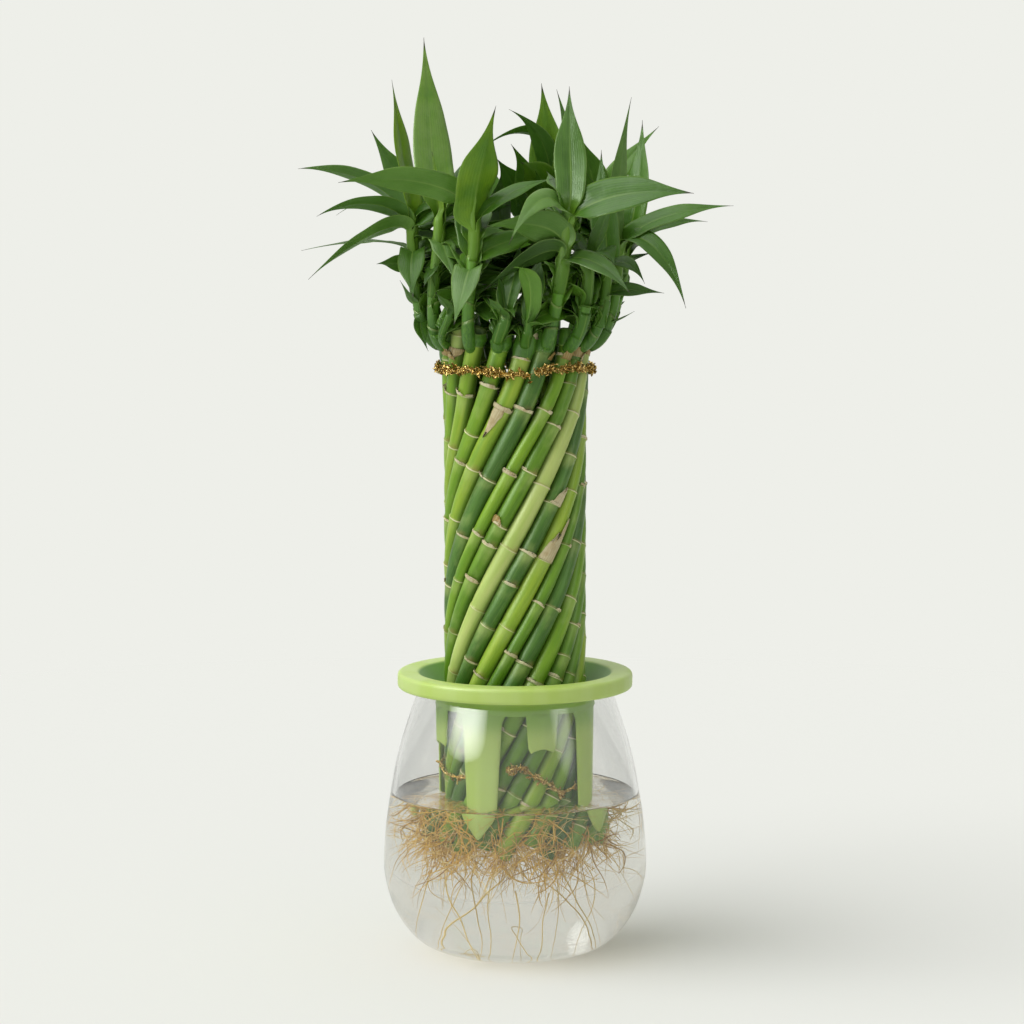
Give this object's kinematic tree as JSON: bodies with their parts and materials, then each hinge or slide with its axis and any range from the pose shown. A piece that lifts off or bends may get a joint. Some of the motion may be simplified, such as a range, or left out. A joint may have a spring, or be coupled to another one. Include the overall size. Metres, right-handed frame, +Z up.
{
  "type": "lucky bamboo in a vase",
  "caption": "Spiral column of green canes tied with gold wire, a leafy shoot on each, standing in a slotted basket in the mouth of a glass vase of water.",
  "frame": {"origin": "centre of the vase's flat foot, on the surface it stands on", "axes": "+Z up along the column of canes; the front, as pictured, faces -Y, and +X is to its right"},
  "size_m": [0.2132, 0.1705, 0.4526],
  "materials": {
    "vase_glass": "clear polished glass, slightly green at the edges",
    "water": "still water with a faint tan tint",
    "basket_plastic": "satin lime green moulded plastic, edges rounded",
    "cane": "smooth living green cane with cream node rings, some paler and some darker",
    "leaf": "living green leaf, soft sheen, fine parallel veins and a dark needle tip",
    "gold_tinsel": "crinkled gold tinsel wire, glittering",
    "root": "golden tan fibrous roots, wet"
  },
  "bodies": {
    "root": {"vase_bowl": "vase_glass", "vase_shoulder": "vase_glass", "water": "water", "planter_basket": "basket_plastic", "stalk_01": "cane", "stalk_02": "cane", "stalk_03": "cane", "stalk_04": "cane", "stalk_05": "cane", "stalk_06": "cane", "stalk_07": "cane", "stalk_08": "cane", "stalk_09": "cane", "stalk_10": "cane", "stalk_11": "cane", "stalk_12": "cane", "stalk_13": "cane", "stalk_14": "cane", "stalk_15": "cane", "stalk_16": "cane", "stalk_17": "cane", "stalk_18": "cane", "stalk_19": "cane", "stalk_20": "cane", "shoot_01": "leaf", "shoot_02": "leaf", "shoot_03": "leaf", "shoot_04": "leaf", "shoot_05": "leaf", "shoot_06": "leaf", "shoot_07": "leaf", "shoot_08": "leaf", "shoot_09": "leaf", "shoot_10": "leaf", "shoot_11": "leaf", "shoot_12": "leaf", "shoot_13": "leaf", "shoot_14": "leaf", "shoot_15": "leaf", "shoot_16": "leaf", "shoot_17": "leaf", "shoot_18": "leaf", "shoot_19": "leaf", "shoot_20": "leaf", "top_tie": "gold_tinsel", "lower_tie": "gold_tinsel", "roots": "root"}
  },
  "joints": []
}
